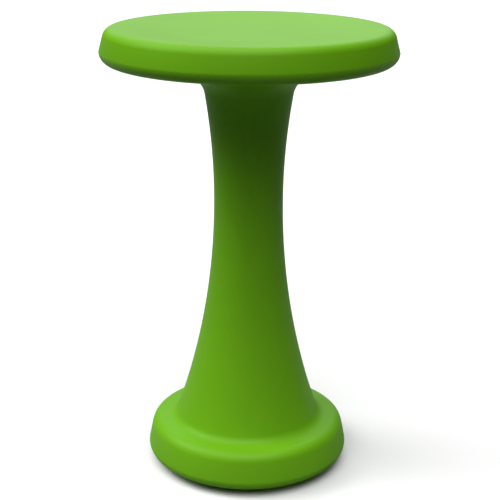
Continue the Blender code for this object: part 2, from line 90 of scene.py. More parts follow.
NEAR = 1e-6
SHARP_ANGLE = math.radians(40)
MOULD_LINE = ((-0.0007, 0.0), (-0.0003, 0.00015), (0.0, 0.0002), (0.0003, 0.00015), (0.0007, 0.0))
LIME = (0.170, 0.476, 0.0095)
LIME_SHADE = (0.160, 0.444, 0.0087)
SATIN_ROUGHNESS = 0.42
PEEL_STRENGTH = 0.12
PEEL_DEPTH = 0.0002
# Coat weights and mask of a painted sheen: full on faces that look upwards, less on walls, standing in for
# the light that falls on them.
PAINTED_SHEEN_UP = 0.48
WALL_SHEEN = 0.22
SHEEN_IOR = 1.5
PAINTED_SHEEN_START = 0.60
PAINTED_SHEEN_FULL = 0.97

BASE_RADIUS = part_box("rocker_base")[1][0]
BASE_EDGE_Z = 0.0195
FLANGE_RADIUS = 0.085
FLANGE_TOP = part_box("leg")[1][2]
FLANGE_BOTTOM = FLANGE_TOP - FLANGE_THICKNESS


def arc(centre, radius, start, end, count):
    """Points of an arc between two angles in degrees, both ends included."""
    angles = [math.radians(start + (end - start) * i / (count - 1)) for i in range(count)]
    return [(centre[0] + radius * math.cos(a), centre[1] + radius * math.sin(a)) for a in angles]


def round_centre(first, second, radius):
    """Centre of a round between two straight faces, each a point and the angle of its outward normal."""
    (x1, z1), a1 = first
    (x2, z2), a2 = second
    c1, s1 = math.cos(math.radians(a1)), math.sin(math.radians(a1))
    c2, s2 = math.cos(math.radians(a2)), math.sin(math.radians(a2))
    d1 = c1 * x1 + s1 * z1 - radius
    d2 = c2 * x2 + s2 * z2 - radius
    turn = c1 * s2 - c2 * s1
    return (d1 * s2 - d2 * s1) / turn, (c1 * d2 - c2 * d1) / turn


def rounded(first, second, radius, count=LIP_POINTS):
    """A small round over the edge where two straight faces meet, first face to second."""
    return arc(round_centre(first, second, radius), radius, first[1], second[1], count)


def heading(start, end):
    """Angle in degrees, from 0 to 360, of the line from one point to another."""
    return math.degrees(math.atan2(end[1] - start[1], end[0] - start[0])) % 360


def along_draft(point, draft, rise):
    """The point that lies a height above another on a wall leaning inwards by a draft angle."""
    return point[0] - rise * math.tan(math.radians(draft)), point[1] + rise


def without_repeats(outline):
    """An outline without points that fall on the one before them."""
    return [p for i, p in enumerate(outline) if i == 0 or math.dist(p, outline[i - 1]) > NEAR]


def thread_depth(thread, radius, angle, z):
    """Depth of a V thread, which climbs one pitch a turn and runs out at both ends."""
    if thread is None or abs(radius - thread["radius"]) > NEAR or not thread["bottom"] < z < thread["top"]:
        return 0.0
    run_out = min(1.0, (z - thread["bottom"]) / thread["pitch"], (thread["top"] - z) / thread["pitch"])
    climb = (z / thread["pitch"] - angle / (2 * math.pi)) % 1
    return thread["depth"] * run_out * abs(2 * climb - 1)


def turned(name, outline, columns, ridged=(), thread=None):
    """A closed piece turned about Z: columns are (angle, sideways shift, lift), and the lift
    is given only to the ridged points of the outline. A thread is cut where one is given."""
    outline = without_repeats(outline)
    form = bmesh.new()
    rings = []
    for index, (radius, z) in enumerate(outline):
        if radius < NEAR:
            rings.append([form.verts.new((0, 0, z))] * len(columns))
            continue
        ring = []
        for angle, shift, lift in columns:
            reach = radius + (lift if index in ridged else 0) - thread_depth(thread, radius, angle, z)
            place = angle + shift / radius
            ring.append(form.verts.new((reach * math.cos(place), reach * math.sin(place), z)))
        rings.append(ring)
    pairs = list(zip(rings, rings[1:]))
    if outline[0][0] > NEAR:
        pairs.append((rings[-1], rings[0]))
    for upper, lower in pairs:
        for i in range(len(columns)):
            j = (i + 1) % len(columns)
            corners = [upper[i], lower[i], lower[j], upper[j]]
            form.faces.new(list(dict.fromkeys(corners)))
    bmesh.ops.recalc_face_normals(form, faces=form.faces)
    mesh = bpy.data.meshes.new(name)
    form.to_mesh(mesh)
    form.free()
    mesh.shade_smooth()
    mesh.set_sharp_from_angle(angle=SHARP_ANGLE)
    piece = bpy.data.objects.new(name, mesh)
    bpy.context.scene.collection.objects.link(piece)
    return piece


def even_columns(count):
    """Columns of a plain turned piece, evenly spaced."""
    return [(2 * math.pi * i / count, 0.0, 0.0) for i in range(count)]


def ring_places(count, radius):
    """Places evenly spaced on a circle about Z, the first on the +X side."""
    turns = [2 * math.pi * i / count for i in range(count)]
    return [Vector((radius * math.cos(t), radius * math.sin(t), 0)) for t in turns]


def rods(places, radius, bottom, top, sides=HOLE_SIDES):
    """Equal round or many-sided bars along Z, one at each place."""
    form = bmesh.new()
    for place in places:
        middle = Matrix.Translation(place + Vector((0, 0, (bottom + top) / 2)))
        bmesh.ops.create_cone(
            form, cap_ends=True, segments=sides, radius1=radius, radius2=radius,
            depth=top - bottom, matrix=middle,
        )
    return form


def combine(piece, operation, form):
    """Joins a form to a piece, or cuts it out of the piece."""
    mesh = bpy.data.meshes.new("tool")
    form.to_mesh(mesh)
    form.free()
    tool = bpy.data.objects.new("tool", mesh)
    bpy.context.scene.collection.objects.link(tool)
    boolean = piece.modifiers.new(operation.lower(), "BOOLEAN")
    boolean.operation = operation
    boolean.object = tool
    boolean.solver = "EXACT"
    graph = bpy.context.evaluated_depsgraph_get()
    piece.data = bpy.data.meshes.new_from_object(piece.evaluated_get(graph))
    piece.data.shade_smooth()
    piece.data.set_sharp_from_angle(angle=SHARP_ANGLE)
    piece.modifiers.clear()
    bpy.data.objects.remove(tool, do_unlink=True)


def fillet_centre(sweep_centre, sweep, face, radius):
    """Centre of a fillet in the corner between a long sweep and a straight face beyond it."""
    (r, z), angle = face
    out_r, out_z = math.cos(math.radians(angle)), math.sin(math.radians(angle))
    run_r, run_z = abs(out_z), -math.copysign(out_r, out_z)
    lift_r = r + radius * out_r - sweep_centre[0]
    lift_z = z + radius * out_z - sweep_centre[1]
    middle = lift_r * run_r + lift_z * run_z
    slide = -middle - math.sqrt(middle**2 - lift_r**2 - lift_z**2 + (sweep - radius)**2)
    return sweep_centre[0] + lift_r + slide * run_r, sweep_centre[1] + lift_z + slide * run_z


def underside_z(radius):
    """Height of the seat's underside, which falls towards the neck and is flush with the leg's flange."""
    return FLANGE_TOP - WALL + (radius - FLANGE_RADIUS) * math.tan(math.radians(UNDER_SLOPE))


def leg_bends():
    """The leg's arcs from neck to foot, as (centre, radius, start angle, end angle, hollow, points)."""
    upper_centre = (WAIST_RADIUS + UPPER_SWEEP, WAIST_Z)
    lower_centre = (WAIST_RADIUS + LOWER_SWEEP, WAIST_Z)
    underside = ((FLANGE_RADIUS, underside_z(FLANGE_RADIUS)), UNDER_SLOPE - 90)
    shoulder = (SHOULDER_POINT, 90 - SHOULDER_SLOPE)
    wall = ((BASE_RADIUS, BASE_EDGE_Z), BASE_DRAFT)
    neck_centre = fillet_centre(upper_centre, UPPER_SWEEP, underside, NECK_FILLET)
    foot_centre = fillet_centre(lower_centre, LOWER_SWEEP, shoulder, FOOT_FILLET)
    corner_centre = round_centre(shoulder, wall, SHOULDER_ROUND)
    neck_end = heading(upper_centre, neck_centre)
    foot_start = heading(lower_centre, foot_centre)
    return [
        (neck_centre, NECK_FILLET, UNDER_SLOPE + 90, neck_end, True, NECK_POINTS),
        (upper_centre, UPPER_SWEEP, neck_end, 180, True, UPPER_SWEEP_POINTS),
        (lower_centre, LOWER_SWEEP, 180, foot_start, True, LOWER_SWEEP_POINTS),
        (foot_centre, FOOT_FILLET, foot_start, 270 - SHOULDER_SLOPE, True, FOOT_POINTS),
        (corner_centre, SHOULDER_ROUND, 90 - SHOULDER_SLOPE, BASE_DRAFT, False, SHOULDER_POINTS),
    ]


def leg_surface(wall, top_z):
    """The leg's outline below a height, set in from its outer face by a wall thickness."""
    points = []
    for centre, radius, start, end, hollow, count in leg_bends():
        points += arc(centre, radius + wall if hollow else radius - wall, start, end, count)
    return [point for point in points if point[1] < top_z - NEAR]


def leg_outline():
    """The leg's outer face from the top of the flange down, and its inner face back up."""
    top = ((0, FLANGE_TOP), 90)
    rim = ((FLANGE_RADIUS, 0), 0)
    under = ((FLANGE_RADIUS, underside_z(FLANGE_RADIUS)), UNDER_SLOPE - 90)
    wall = ((BASE_RADIUS, BASE_EDGE_Z), BASE_DRAFT)
    foot = ((0, BASE_EDGE_Z + PARTING_GAP / 2), -90)
    outer = [(0, FLANGE_TOP)]
    outer += rounded(top, rim, FLANGE_LIP)
    outer += rounded(rim, under, FLANGE_LIP)
    outer += leg_surface(0, FLANGE_TOP)
    outer += rounded(wall, foot, PARTING_LIP, PARTING_POINTS)
    inner_foot = (BASE_RADIUS - WALL / math.cos(math.radians(BASE_DRAFT)), BASE_EDGE_Z)
    neck_centre, neck_radius = leg_bends()[0][:2]
    mouth = neck_centre[0] - math.sqrt((neck_radius + WALL)**2 - (FLANGE_BOTTOM - neck_centre[1])**2)
    inner = [along_draft(inner_foot, BASE_DRAFT, PARTING_GAP / 2)]
    inner += leg_surface(WALL, FLANGE_BOTTOM)[::-1]
    inner += [(mouth, FLANGE_BOTTOM), (0, FLANGE_BOTTOM)]
    return without_repeats(outer), inner


def mould_columns():
    """Even columns, with closer ones that carry the raised mould lines on the left and right."""
    columns = even_columns(ROUND_COLUMNS)
    for side in (0, ROUND_COLUMNS // 2):
        columns[side] = [(columns[side][0], shift, lift) for shift, lift in MOULD_LINE]
    flat = []
    for column in columns:
        flat += column if isinstance(column, list) else [column]
    return flat


def socket(tree, kind, name, data, value=None):
    """Adds an input or an output to a node group."""
    made = tree.interface.new_socket(name=name, in_out=kind, socket_type=data)
    if value is not None:
        made.default_value = value


def moulded_skin_group():
    """Moulded plastic skin: cloudy colour, fine orange peel, faint rub marks, and a coat for a painted
    sheen, stronger on faces that look upwards than on walls, standing in for the light that falls on them."""
    tree = bpy.data.node_groups.new("moulded_skin", "ShaderNodeTree")
    socket(tree, "INPUT", "Colour", "NodeSocketColor")
    socket(tree, "INPUT", "Shade", "NodeSocketColor")
    socket(tree, "INPUT", "Roughness", "NodeSocketFloat", SATIN_ROUGHNESS)
    socket(tree, "INPUT", "Painted Sheen", "NodeSocketFloat", PAINTED_SHEEN_UP)
    socket(tree, "OUTPUT", "Colour", "NodeSocketColor")
    socket(tree, "OUTPUT", "Roughness", "NodeSocketFloat")
    socket(tree, "OUTPUT", "Height", "NodeSocketFloat")
    socket(tree, "OUTPUT", "Painted Sheen", "NodeSocketFloat")
    nodes, links = tree.nodes, tree.links
    given = nodes.new("NodeGroupInput")
    result = nodes.new("NodeGroupOutput")
    place = nodes.new("ShaderNodeTexCoord")

    clouds = nodes.new("ShaderNodeTexNoise")
    clouds.inputs["Scale"].default_value = 14
    clouds.inputs["Detail"].default_value = 4
    links.new(place.outputs["Object"], clouds.inputs["Vector"])
    speckle = nodes.new("ShaderNodeTexNoise")
    speckle.inputs["Scale"].default_value = 900
    speckle.inputs["Detail"].default_value = 1
    links.new(place.outputs["Object"], speckle.inputs["Vector"])
    blend = nodes.new("ShaderNodeMath")
    blend.operation = "MULTIPLY_ADD"
    blend.inputs[1].default_value = 0.35
    links.new(speckle.outputs["Fac"], blend.inputs[0])
    links.new(clouds.outputs["Fac"], blend.inputs[2])
    cloud_range = nodes.new("ShaderNodeMapRange")
    cloud_range.inputs["From Min"].default_value = 0.45
    cloud_range.inputs["From Max"].default_value = 0.95
    links.new(blend.outputs["Value"], cloud_range.inputs["Value"])
    tint = nodes.new("ShaderNodeMix")
    tint.data_type = "RGBA"
    links.new(cloud_range.outputs["Result"], tint.inputs["Factor"])
    links.new(given.outputs["Shade"], tint.inputs["A"])
    links.new(given.outputs["Colour"], tint.inputs["B"])
    links.new(tint.outputs["Result"], result.inputs["Colour"])

    streak_map = nodes.new("ShaderNodeMapping")
    streak_map.inputs["Scale"].default_value = (60, 60, 9)
    links.new(place.outputs["Object"], streak_map.inputs["Vector"])
    streaks = nodes.new("ShaderNodeTexNoise")
    streaks.inputs["Scale"].default_value = 2.5
    streaks.inputs["Detail"].default_value = 6
    streaks.inputs["Distortion"].default_value = 0.4
    links.new(streak_map.outputs["Vector"], streaks.inputs["Vector"])
    rub = nodes.new("ShaderNodeMapRange")
    rub.inputs["From Min"].default_value = 0.35
    rub.inputs["From Max"].default_value = 0.75
    rub.inputs["To Min"].default_value = -0.05
    rub.inputs["To Max"].default_value = 0.06
    links.new(streaks.outputs["Fac"], rub.inputs["Value"])
    rough = nodes.new("ShaderNodeMath")
    rough.operation = "ADD"
    links.new(given.outputs["Roughness"], rough.inputs[0])
    links.new(rub.outputs["Result"], rough.inputs[1])
    links.new(rough.outputs["Value"], result.inputs["Roughness"])

    peel = nodes.new("ShaderNodeTexNoise")
    peel.inputs["Scale"].default_value = 420
    peel.inputs["Detail"].default_value = 2
    links.new(place.outputs["Object"], peel.inputs["Vector"])
    links.new(peel.outputs["Fac"], result.inputs["Height"])

    # Painted sheen: the coat grows stronger the more a face looks upwards.
    facing = nodes.new("ShaderNodeSeparateXYZ")
    links.new(place.outputs["Normal"], facing.inputs["Vector"])
    painted_sheen = nodes.new("ShaderNodeMapRange")
    painted_sheen.interpolation_type = "SMOOTHSTEP"
    painted_sheen.inputs["From Min"].default_value = PAINTED_SHEEN_START
    painted_sheen.inputs["From Max"].default_value = PAINTED_SHEEN_FULL
    painted_sheen.inputs["To Min"].default_value = WALL_SHEEN
    links.new(given.outputs["Painted Sheen"], painted_sheen.inputs["To Max"])
    links.new(facing.outputs["Z"], painted_sheen.inputs["Value"])
    links.new(painted_sheen.outputs["Result"], result.inputs["Painted Sheen"])
    return tree


def lime_plastic(name, painted_sheen):
    """Satin lime polyethylene, whose sheen all comes from its coat, a painted sheen that is stronger on
    faces that look upwards.
    """
    material = bpy.data.materials.new(name)
    material.use_nodes = True
    nodes, links = material.node_tree.nodes, material.node_tree.links
    shader = nodes["Principled BSDF"]
    shader.inputs["Specular IOR Level"].default_value = 0.0
    shader.inputs["Coat Roughness"].default_value = SATIN_ROUGHNESS
    shader.inputs["Coat IOR"].default_value = SHEEN_IOR
    skin = nodes.new("ShaderNodeGroup")
    skin.node_tree = MOULDED_SKIN
    skin.inputs["Colour"].default_value = (*LIME, 1)
    skin.inputs["Shade"].default_value = (*LIME_SHADE, 1)
    skin.inputs["Roughness"].default_value = SATIN_ROUGHNESS
    skin.inputs["Painted Sheen"].default_value = painted_sheen
    bump = nodes.new("ShaderNodeBump")
    bump.inputs["Strength"].default_value = PEEL_STRENGTH
    bump.inputs["Distance"].default_value = PEEL_DEPTH
    links.new(skin.outputs["Height"], bump.inputs["Height"])
    links.new(skin.outputs["Colour"], shader.inputs["Base Color"])
    links.new(skin.outputs["Roughness"], shader.inputs["Roughness"])
    links.new(skin.outputs["Painted Sheen"], shader.inputs["Coat Weight"])
    links.new(bump.outputs["Normal"], shader.inputs["Normal"])
    return material


MOULDED_SKIN = moulded_skin_group()
SATIN_LIME = lime_plastic("satin_lime", PAINTED_SHEEN_UP)
leg_outer, leg_inner = leg_outline()
leg = turned("leg_moulding", leg_outer + leg_inner, mould_columns(), ridged=range(len(leg_outer)))
leg.data.materials.append(SATIN_LIME)
bolt_places = ring_places(BOLT_COUNT, BOLT_CIRCLE)
screw_places = ring_places(SCREW_COUNT, SCREW_CIRCLE)
shoulder_rise = (SHOULDER_POINT[0] - SCREW_CIRCLE) * math.tan(math.radians(SHOULDER_SLOPE))
boss_top = SHOULDER_POINT[1] + shoulder_rise - WALL / 2
combine(leg, "UNION", rods(screw_places, SCREW_BOSS_RADIUS, SCREW_BOSS_BOTTOM, boss_top))
combine(leg, "DIFFERENCE", rods(screw_places, PILOT_RADIUS, 0, SCREW_BOSS_BOTTOM + PILOT_DEPTH))
combine(leg, "DIFFERENCE", rods(bolt_places, BOLT_HOLE_RADIUS, FLANGE_BOTTOM - WALL, FLANGE_TOP + WALL))
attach(leg, "root")
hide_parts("leg")

# Seat pan
# The underside of the seat, moulded with a rolled lower edge. The leg's flange sits flush in a socket in
# its middle, and a spigot locates it inside the rim of the seat top.

SEAT_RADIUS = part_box("seat_pan")[1][0]
SEAT_EDGE_Z = 0.4755
SEAT_DRAFT = 15.0
SEAT_UNDER_ROUND = 0.012
SPIGOT_HEIGHT = 0.008
SPIGOT_WALL = 0.003
ROLL_POINTS = 18
INNER_ROUND_POINTS = 8
PAN_BOTTOM = FLANGE_TOP + GAP
PAN_TOP = PAN_BOTTOM + WALL
SEAT_INNER_EDGE = (SEAT_RADIUS - WALL / math.cos(math.radians(SEAT_DRAFT)), SEAT_EDGE_Z)


def seat_pan_outline():
    """From the middle of the pan's inner face over the spigot and the rolled edge to the socket."""
    round_middle = (SEAT_RADIUS - SEAT_UNDER_ROUND, SEAT_EDGE_Z)
    socket_r = FLANGE_RADIUS + GAP
    face_z = SEAT_EDGE_Z - PARTING_GAP / 2
    spigot_foot = (SEAT_INNER_EDGE[0] - GAP - GAP / 2, face_z)
    spigot_tip = along_draft(spigot_foot, SEAT_DRAFT, SPIGOT_HEIGHT)
    inner_round = SEAT_UNDER_ROUND - WALL
    inner_angle = -math.degrees(math.acos((spigot_foot[0] - SPIGOT_WALL - round_middle[0]) / inner_round))
    roll_start = -math.degrees(math.asin((PARTING_GAP / 2 + PARTING_LIP) / SEAT_UNDER_ROUND))
    collar_r = socket_r + WALL
    inner_fall_z = underside_z(collar_r) + WALL / math.cos(math.radians(UNDER_SLOPE))
    outline = [(0, PAN_TOP), (collar_r, PAN_TOP), (collar_r, inner_fall_z)]
    outline += arc(round_middle, inner_round, UNDER_SLOPE - 90, inner_angle, INNER_ROUND_POINTS)
    outline += [(spigot_tip[0] - SPIGOT_WALL, spigot_tip[1]), spigot_tip, spigot_foot]
    outline += rounded(((0, face_z), 90), ((SEAT_RADIUS, 0), 0), PARTING_LIP, PARTING_POINTS)
    outline += arc(round_middle, SEAT_UNDER_ROUND, roll_start, UNDER_SLOPE - 90, ROLL_POINTS)
    underside = ((socket_r, underside_z(socket_r)), UNDER_SLOPE - 90)
    outline += rounded(underside, ((socket_r, 0), -180), FLANGE_LIP)
    outline += [(socket_r, PAN_BOTTOM), (0, PAN_BOTTOM)]
    return outline


seat_pan = turned("seat_underside", seat_pan_outline(), even_columns(ROUND_COLUMNS))
seat_pan.data.materials.append(SATIN_LIME)
combine(seat_pan, "DIFFERENCE", rods(bolt_places, BOLT_HOLE_RADIUS, PAN_BOTTOM - WALL, PAN_TOP + WALL))
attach(seat_pan, "root")
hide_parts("seat_pan")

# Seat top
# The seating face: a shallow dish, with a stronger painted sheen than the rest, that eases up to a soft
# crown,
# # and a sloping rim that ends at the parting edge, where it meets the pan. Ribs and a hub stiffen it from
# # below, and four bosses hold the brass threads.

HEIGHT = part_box("seat_top")[1][2]
CROWN_ROUND = 0.011
DISH_DEPTH = 0.005
DISH_FLAT_RADIUS = 0.075
DISH_POINTS = 24
CROWN_POINTS = 16
RIB_CROWN_POINTS = 6
HUB_RADIUS = 0.037
HUB_BOTTOM = PAN_TOP + GAP
SEAT_RIBS = 12
RIB_THICKNESS = 0.003
RIB_CLEARANCE = 0.001
INSERT_BOSS_RADIUS = 0.009
INSERT_RADIUS = 0.0042
INSERT_LENGTH = 0.013
# A stronger painted sheen on the seat's faces that look upwards.
SEAT_PAINTED_SHEEN = 0.77
CROWN_CENTRE = round_centre(((0, HEIGHT), 90), ((SEAT_RADIUS, SEAT_EDGE_Z), SEAT_DRAFT), CROWN_ROUND)


def dish_z(radius):
    """Height of the seating face: flat in the middle, easing up to the crown."""
    share = (radius - DISH_FLAT_RADIUS) / (CROWN_CENTRE[0] - DISH_FLAT_RADIUS)
    ease = (1 - math.cos(math.pi * min(1.0, max(0.0, share)))) / 2
    return HEIGHT - DISH_DEPTH + DISH_DEPTH * ease


def seat_top_outline():
    """From the middle of the dish over crown and rim, and back under the top to the hub."""
    crown_r = CROWN_CENTRE[0]
    spread = [DISH_FLAT_RADIUS + (crown_r - DISH_FLAT_RADIUS) * i / DISH_POINTS for i in range(DISH_POINTS)]
    rim = ((SEAT_RADIUS, SEAT_EDGE_Z), SEAT_DRAFT)
    face = ((0, SEAT_EDGE_Z + PARTING_GAP / 2), -90)
    outline = [(0, dish_z(0)), (DISH_FLAT_RADIUS / 2, dish_z(0))]
    outline += [(r, dish_z(r)) for r in spread]
    outline += arc(CROWN_CENTRE, CROWN_ROUND, 90, SEAT_DRAFT, CROWN_POINTS)
    outline += rounded(rim, face, PARTING_LIP, PARTING_POINTS)
    outline += [along_draft(SEAT_INNER_EDGE, SEAT_DRAFT, PARTING_GAP / 2)]
    outline += arc(CROWN_CENTRE, CROWN_ROUND - WALL, SEAT_DRAFT, 90, INNER_ROUND_POINTS)
    outline += [(r, dish_z(r) - WALL) for r in spread[::-1]]
    outline += [(HUB_RADIUS, dish_z(0) - WALL), (HUB_RADIUS, HUB_BOTTOM)]
    outline += [(HUB_RADIUS - RIB_THICKNESS, HUB_BOTTOM), (HUB_RADIUS - RIB_THICKNESS, dish_z(0) - WALL)]
    outline += [(0, dish_z(0) - WALL)]
    return outline


def plates(count, outline, thickness):
    """Equal flat plates that stand out from the Z axis, from the (radius, height) outline of one."""
    form = bmesh.new()
    for number in range(count):
        spin = Matrix.Rotation(2 * math.pi * number / count, 4, "Z")
        near = [form.verts.new(spin @ Vector((r, -thickness / 2, z))) for r, z in outline]
        far = [form.verts.new(spin @ Vector((r, thickness / 2, z))) for r, z in outline]
        form.faces.new(near)
        form.faces.new(far[::-1])
        for i in range(len(outline)):
            form.faces.new([near[i - 1], far[i - 1], far[i], near[i]])
    bmesh.ops.recalc_face_normals(form, faces=form.faces)
    return form


def seat_rib_outline():
    """A rib is buried to half the wall in the top and in the rim, and passes over the pan's spigot."""
    foot_lift = SPIGOT_HEIGHT + RIB_CLEARANCE
    hub_r = HUB_RADIUS - RIB_THICKNESS / 2
    outline = [(hub_r, dish_z(0) - WALL / 2), (DISH_FLAT_RADIUS, dish_z(0) - WALL / 2)]
    outline += arc(CROWN_CENTRE, CROWN_ROUND - WALL / 2, 90, SEAT_DRAFT, RIB_CROWN_POINTS)
    outline += [along_draft((SEAT_RADIUS - WALL / 2, SEAT_EDGE_Z), SEAT_DRAFT, foot_lift)]
    outline += [(CROWN_CENTRE[0], SEAT_EDGE_Z + foot_lift), (hub_r, HUB_BOTTOM + RIB_CLEARANCE)]
    return outline


seat_top = turned("seat_dish", seat_top_outline(), even_columns(ROUND_COLUMNS))
seat_top.data.materials.append(lime_plastic("seat_lime", SEAT_PAINTED_SHEEN))
pocket_top = HUB_BOTTOM + INSERT_LENGTH + 2 * GAP
combine(seat_top, "UNION", plates(SEAT_RIBS, seat_rib_outline(), RIB_THICKNESS))
combine(seat_top, "UNION", rods(bolt_places, INSERT_BOSS_RADIUS, HUB_BOTTOM, dish_z(0) - WALL / 2))
combine(seat_top, "DIFFERENCE", rods(bolt_places, INSERT_RADIUS + GAP, HUB_BOTTOM - WALL, pocket_top))
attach(seat_top, "root")
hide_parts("seat_top")

# Rocker base
# The domed underside that closes the leg and lets the stool roll, moulded in the same plastic. It has a
# recess for the sole, counterbores for the screws that hold it, and ribs between two rings inside.

ROCKER_RADIUS = 0.644
FLOOR_FLAT_RADIUS = 0.035
BASE_UNDER_ROUND = 0.012
SOLE_RADIUS = 0.084
SOLE_THICKNESS = 0.004
BASE_FLOOR_Z = SCREW_BOSS_BOTTOM - GAP
BASE_RIBS = 8
BASE_RIB_TOP = 0.024
BASE_RING_RADII = (0.013, 0.079)
ROCKER_CENTRE_Z = math.sqrt(ROCKER_RADIUS**2 - FLOOR_FLAT_RADIUS**2)
ROCKER_POINTS = 10
SCREW_HOLE_RADIUS = 0.0024
COUNTERBORE_RADIUS = 0.005
COUNTERBORE_TOP = 0.0105


def rocker_z(radius):
    """Height of the rocking surface: flat in the middle, then part of a large sphere."""
    return max(0.0, ROCKER_CENTRE_Z - math.sqrt(ROCKER_RADIUS**2 - radius**2))


def dome(start, end, lift, count=ROCKER_POINTS):
    """Points on the rocking surface, or lifted above it, between two radii."""
    radii = [start + (end - start) * i / (count - 1) for i in range(count)]
    return [(r, rocker_z(r) + lift) for r in radii]


def rocker_base_outline():
    """From the middle of the inner face over rings, spigot and rolled edge to the sole's recess."""
    recess_r = SOLE_RADIUS + GAP
    recess_lift = SOLE_THICKNESS + GAP
    round_middle = (BASE_RADIUS - BASE_UNDER_ROUND, BASE_EDGE_Z)
    face_z = BASE_EDGE_Z - PARTING_GAP / 2
    inner_edge = BASE_RADIUS - WALL / math.cos(math.radians(BASE_DRAFT))
    spigot_foot = (inner_edge - GAP - GAP / 2, face_z)
    spigot_tip = along_draft(spigot_foot, BASE_DRAFT, SPIGOT_HEIGHT)
    roll_start = -math.degrees(math.asin((PARTING_GAP / 2 + PARTING_LIP) / BASE_UNDER_ROUND))
    roll_end = heading((0, ROCKER_CENTRE_Z), round_middle) - 360
    roll = arc(round_middle, BASE_UNDER_ROUND, roll_start, roll_end, ROLL_POINTS)
    floor_lift = recess_lift + WALL
    hub_r, ring_r = BASE_RING_RADII
    hub_inner, ring_inner = hub_r - RIB_THICKNESS, ring_r - RIB_THICKNESS
    outline = [(0, floor_lift), (hub_inner, floor_lift), (hub_inner, BASE_RIB_TOP), (hub_r, BASE_RIB_TOP)]
    outline += [(hub_r, floor_lift)] + dome(FLOOR_FLAT_RADIUS, ring_inner, floor_lift)
    outline += [(ring_inner, BASE_RIB_TOP), (ring_r, BASE_RIB_TOP), (ring_r, BASE_FLOOR_Z)]
    outline += [(spigot_foot[0] - SPIGOT_WALL, BASE_FLOOR_Z)]
    outline += [(spigot_tip[0] - SPIGOT_WALL, spigot_tip[1]), spigot_tip, spigot_foot]
    outline += rounded(((0, face_z), 90), ((BASE_RADIUS, 0), 0), PARTING_LIP, PARTING_POINTS)
    outline += roll
    outline += dome(roll[-1][0], recess_r, 0)
    outline += dome(recess_r, FLOOR_FLAT_RADIUS, recess_lift)
    outline += [(0, recess_lift)]
    return outline


def base_rib_outline():
    """A rib between the two rings, sunk to half the wall in the dome."""
    hub_r, ring_r = (radius - RIB_THICKNESS / 2 for radius in BASE_RING_RADII)
    sunk = SOLE_THICKNESS + GAP + WALL / 2
    outline = [(hub_r, BASE_RIB_TOP - RIB_CLEARANCE), (ring_r, BASE_RIB_TOP - RIB_CLEARANCE)]
    outline += dome(ring_r, FLOOR_FLAT_RADIUS, sunk) + [(hub_r, sunk)]
    return outline


rocker_base = turned("rocker_underside", rocker_base_outline(), even_columns(ROUND_COLUMNS))
rocker_base.data.materials.append(SATIN_LIME)
combine(rocker_base, "UNION", plates(BASE_RIBS, base_rib_outline(), RIB_THICKNESS))
combine(rocker_base, "DIFFERENCE", rods(screw_places, COUNTERBORE_RADIUS, -WALL, COUNTERBORE_TOP))
combine(rocker_base, "DIFFERENCE", rods(screw_places, SCREW_HOLE_RADIUS, -WALL, BASE_FLOOR_Z + WALL))
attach(rocker_base, "root")
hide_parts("rocker_base")

# Grip sole
# A black rubber disc bonded into the recess of the rocker base. Its flat middle rests on the floor, and
# ring grooves around it keep the grip when the stool leans.

TREAD_GROOVES = 4
TREAD_PITCH = 0.011
TREAD_WIDTH = 0.003
TREAD_DEPTH = 0.0012
TREAD_LIP = 0.0004
RUBBER = (0.020, 0.021, 0.020)
RUBBER_DUST = (0.045, 0.046, 0.043)
RUBBER_IOR = 1.52
RUBBER_ROUGHNESS = (0.72, 0.92)
PEBBLE_STRENGTH = 0.35
PEBBLE_DEPTH = 0.0003


def grip_sole_outline():
    """From the middle of the bonded face over the edge, and in across the grooves to the middle."""
    edge_z = rocker_z(SOLE_RADIUS)
    outline = [(0, SOLE_THICKNESS)] + dome(FLOOR_FLAT_RADIUS, SOLE_RADIUS, SOLE_THICKNESS)
    outline += [(SOLE_RADIUS, edge_z + TREAD_LIP), (SOLE_RADIUS - TREAD_LIP, edge_z)]
    for groove in reversed(range(TREAD_GROOVES)):
        inner = FLOOR_FLAT_RADIUS + TREAD_PITCH * groove
        outer = inner + TREAD_WIDTH
        outline += [(outer + TREAD_LIP, rocker_z(outer)), (outer, rocker_z(outer) + TREAD_LIP)]
        outline += [(outer, rocker_z(outer) + TREAD_DEPTH), (inner, rocker_z(inner) + TREAD_DEPTH)]
        outline += [(inner, rocker_z(inner) + TREAD_LIP), (inner - TREAD_LIP, rocker_z(inner))]
    outline += [(0, 0)]
    return outline


